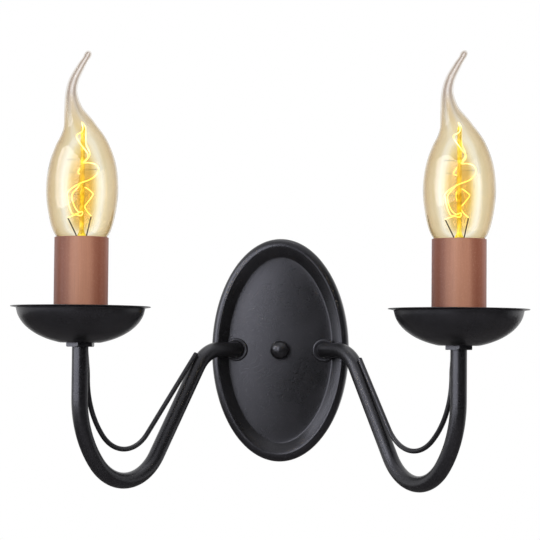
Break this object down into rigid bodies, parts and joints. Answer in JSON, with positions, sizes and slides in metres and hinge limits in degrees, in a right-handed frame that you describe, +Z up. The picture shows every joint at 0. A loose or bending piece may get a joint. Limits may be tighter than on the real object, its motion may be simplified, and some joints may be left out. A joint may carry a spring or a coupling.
{
  "type": "two-light wall lamp",
  "caption": "Oval-backed wall lamp with U-bent tube arms, thin brace rods, drip pans, candle sleeves and bent-tip filament bulbs.",
  "frame": {"origin": "middle of the wall bracket's back face, on the wall behind the middle of the backplate", "axes": "+X to the right of someone facing the lamp, +Y into the wall, +Z up"},
  "size_m": [0.2506, 0.1503, 0.2144],
  "materials": {
    "powder_black": "satin black powder coat with a fine texture",
    "zinc_steel": "bright zinc-plated steel",
    "brass": "plain machined brass",
    "copper_sleeve": "satin antique-copper lacquer with a fine fleck",
    "white_moulding": "white moulded thermoset",
    "brown_insulation": "brown wire insulation",
    "blue_insulation": "blue wire insulation",
    "amber_glass": "clear glass with a pale amber tint",
    "clear_glass": "clear pressed glass",
    "filament": "glowing filament wire",
    "black_glass": "black vitrified insulator"
  },
  "bodies": {
    "wall_bracket": {"mounting_bracket": "zinc_steel", "canopy_stud": "zinc_steel", "stud_nut": "zinc_steel", "bracket_earth_screw": "brass"},
    "canopy": {"backplate": "powder_black", "arm_collars": "powder_black", "arm_washers": "zinc_steel", "arm_nuts": "zinc_steel", "terminal_block": "white_moulding", "terminal_inserts": "brass", "terminal_screws": "zinc_steel", "earth_stud": "zinc_steel", "earth_nut": "brass", "pan_nuts": "powder_black", "pan_lock_nuts": "zinc_steel", "left_arm_tube": "powder_black", "left_arm_rod": "powder_black", "left_drip_pan": "powder_black", "left_socket_base": "zinc_steel", "left_socket_shell": "white_moulding", "left_socket_thread": "brass", "left_centre_contact": "brass", "left_candle_sleeve": "copper_sleeve", "left_live_wire": "brown_insulation", "left_neutral_wire": "blue_insulation", "right_arm_tube": "powder_black", "right_arm_rod": "powder_black", "right_drip_pan": "powder_black", "right_socket_base": "zinc_steel", "right_socket_shell": "white_moulding", "right_socket_thread": "brass", "right_centre_contact": "brass", "right_candle_sleeve": "copper_sleeve", "right_live_wire": "brown_insulation", "right_neutral_wire": "blue_insulation"},
    "canopy_knob": {"canopy_knob": "powder_black"},
    "left_bulb": {"left_bulb_glass": "amber_glass", "left_bulb_stem": "clear_glass", "left_bulb_filament": "filament", "left_bulb_leads": "zinc_steel", "left_bulb_cap": "zinc_steel", "left_bulb_insulator": "black_glass", "left_bulb_contact": "zinc_steel"},
    "right_bulb": {"right_bulb_glass": "amber_glass", "right_bulb_stem": "clear_glass", "right_bulb_filament": "filament", "right_bulb_leads": "zinc_steel", "right_bulb_cap": "zinc_steel", "right_bulb_insulator": "black_glass", "right_bulb_contact": "zinc_steel"}
  },
  "joints": [
    {"name": "canopy_slide", "type": "slide", "parent": "wall_bracket", "child": "canopy", "axis": [0, -1, 0], "range_m": [0, 0.03]},
    {"name": "knob_turn", "type": "hinge", "parent": "canopy", "child": "canopy_knob", "pos_m": [0, -0.018, 0], "axis": [0, -1, 0], "range_deg": [0, 1440]},
    {"name": "left_bulb_turn", "type": "hinge", "parent": "canopy", "child": "left_bulb", "pos_m": [-0.0913, -0.11632, 0.05], "axis": [0, 0, 1], "range_deg": [0, 1260]},
    {"name": "right_bulb_turn", "type": "hinge", "parent": "canopy", "child": "right_bulb", "pos_m": [0.0913, -0.11632, 0.05], "axis": [0, 0, 1], "range_deg": [0, 1260]}
  ]
}
